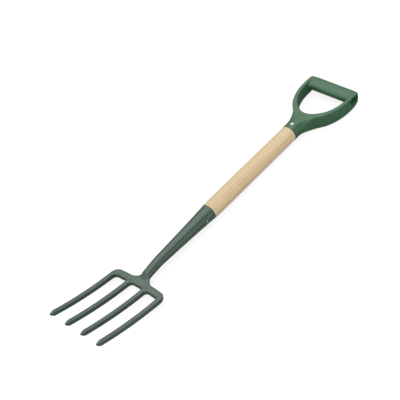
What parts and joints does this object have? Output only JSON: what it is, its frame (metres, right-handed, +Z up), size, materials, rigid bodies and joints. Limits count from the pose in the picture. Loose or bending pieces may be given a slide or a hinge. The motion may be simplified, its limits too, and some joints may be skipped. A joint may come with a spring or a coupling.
{
  "type": "garden fork",
  "caption": "Garden border fork: forged dished square tines on a shoulder and neck, tapered steel socket, ash shaft, moulded D grip, riveted.",
  "frame": {"origin": "centre of the part's footprint, on the surface it lies on", "axes": "the fork lies on its back: +Y from the tines to the grip, along the shaft, +Z up out of the dished front face, +X to the right seen from the tines"},
  "size_m": [0.136, 0.8526, 0.0564],
  "materials": {
    "head_paint": "glossy grey-green coat over forged steel",
    "ash": "clear lacquer over straight-grained ash",
    "grip_plastic": "satin moulded plastic",
    "rivet_steel": "bright plated"
  },
  "bodies": {
    "root": {"fork_head": "head_paint", "socket": "head_paint", "shaft": "ash", "d_grip": "grip_plastic", "grip_rivet": "rivet_steel", "grip_rivet_burr": "rivet_steel", "socket_rivet": "rivet_steel"}
  },
  "joints": []
}
